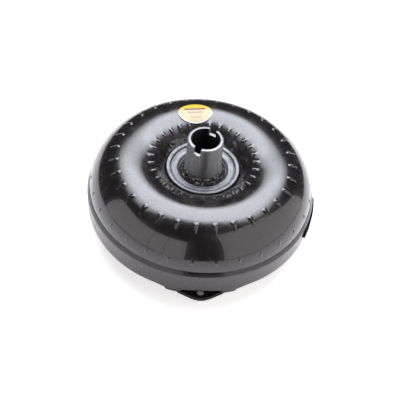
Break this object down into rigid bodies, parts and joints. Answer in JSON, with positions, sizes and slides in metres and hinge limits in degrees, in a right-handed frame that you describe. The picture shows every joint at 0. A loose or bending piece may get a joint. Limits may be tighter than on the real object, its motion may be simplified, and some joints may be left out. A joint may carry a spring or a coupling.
{
  "type": "torque converter",
  "caption": "Welded automotive torque converter: ribbed black torus shell, slotted pump-drive hub, flexplate lugs, crank pilot, inner turbine and stator.",
  "frame": {"origin": "centre of the crank pilot's end face, on the spin axis", "axes": "+Z along the spin axis, from the engine side towards the transmission and out through the pump-drive hub; -Y is close to one of the three flexplate lugs"},
  "size_m": [0.3137, 0.3117, 0.154],
  "materials": {
    "black_paint": "glossy black enamel",
    "lug_paint": "semi-gloss black",
    "label_film": "printed film, satin",
    "turned_steel": "turned and ground",
    "weld_steel": "rough weld bead",
    "sheet_steel": "furnace-brazed sheet",
    "cast_aluminium": "as cast",
    "bearing_steel": "ground and polished",
    "spring_steel": "oiled spring steel"
  },
  "bodies": {
    "housing": {"impeller_shell": "black_paint", "front_cover": "black_paint", "closure_weld_bead": "black_paint", "balance_weight": "black_paint", "flexplate_lug_1": "lug_paint", "flexplate_lug_2": "lug_paint", "flexplate_lug_3": "lug_paint", "label": "label_film", "hub_flange": "turned_steel", "pump_drive_hub": "turned_steel", "hub_weld_bead": "weld_steel", "crank_pilot": "turned_steel", "impeller_fins": "sheet_steel", "front_bearing_lower_race": "bearing_steel", "rear_bearing_upper_race": "bearing_steel"},
    "turbine": {"turbine_shell": "sheet_steel", "turbine_fins": "sheet_steel", "turbine_hub": "turned_steel", "turbine_rivet_1": "sheet_steel", "turbine_rivet_2": "sheet_steel", "turbine_rivet_3": "sheet_steel", "turbine_rivet_4": "sheet_steel", "turbine_rivet_5": "sheet_steel", "turbine_rivet_6": "sheet_steel", "front_bearing_upper_race": "bearing_steel", "middle_bearing_lower_race": "bearing_steel"},
    "stator_race": {"stator_inner_race": "bearing_steel"},
    "stator": {"stator_wheel": "cast_aluminium", "stator_cam": "turned_steel", "clutch_roller_1": "bearing_steel", "clutch_roller_2": "bearing_steel", "clutch_roller_3": "bearing_steel", "clutch_roller_4": "bearing_steel", "clutch_roller_5": "bearing_steel", "clutch_roller_6": "bearing_steel", "clutch_roller_7": "bearing_steel", "clutch_roller_8": "bearing_steel", "clutch_spring_1": "spring_steel", "clutch_spring_2": "spring_steel", "clutch_spring_3": "spring_steel", "clutch_spring_4": "spring_steel", "clutch_spring_5": "spring_steel", "clutch_spring_6": "spring_steel", "clutch_spring_7": "spring_steel", "clutch_spring_8": "spring_steel", "clutch_retainer": "turned_steel", "snap_ring": "spring_steel", "middle_bearing_upper_race": "bearing_steel", "rear_bearing_lower_race": "bearing_steel"},
    "front_cage": {"front_bearing_needle_cage": "bearing_steel"},
    "middle_cage": {"middle_bearing_needle_cage": "bearing_steel"},
    "rear_cage": {"rear_bearing_needle_cage": "bearing_steel"}
  },
  "joints": [
    {"name": "turbine_spin", "type": "hinge", "parent": "housing", "child": "turbine", "pos_m": [0, 0, 0.064], "axis": [0, 0, 1], "continuous": true},
    {"name": "race_spin", "type": "hinge", "parent": "housing", "child": "stator_race", "pos_m": [0, 0, 0.064], "axis": [0, 0, 1], "continuous": true},
    {"name": "stator_freewheel", "type": "hinge", "parent": "stator_race", "child": "stator", "pos_m": [0, 0, 0.064], "axis": [0, 0, 1], "continuous": true},
    {"name": "front_cage_spin", "type": "hinge", "parent": "housing", "child": "front_cage", "pos_m": [0, 0, 0.064], "axis": [0, 0, 1], "continuous": true},
    {"name": "middle_cage_spin", "type": "hinge", "parent": "turbine", "child": "middle_cage", "pos_m": [0, 0, 0.064], "axis": [0, 0, 1], "continuous": true},
    {"name": "rear_cage_spin", "type": "hinge", "parent": "housing", "child": "rear_cage", "pos_m": [0, 0, 0.064], "axis": [0, 0, 1], "continuous": true}
  ],
  "couplings": [
    {"joint": "front_cage_spin", "follows": "turbine_spin", "ratio": 0.5},
    {"joint": "middle_cage_spin", "follows": "turbine_spin", "ratio": -0.5},
    {"joint": "rear_cage_spin", "follows": "stator_freewheel", "ratio": 0.5}
  ]
}
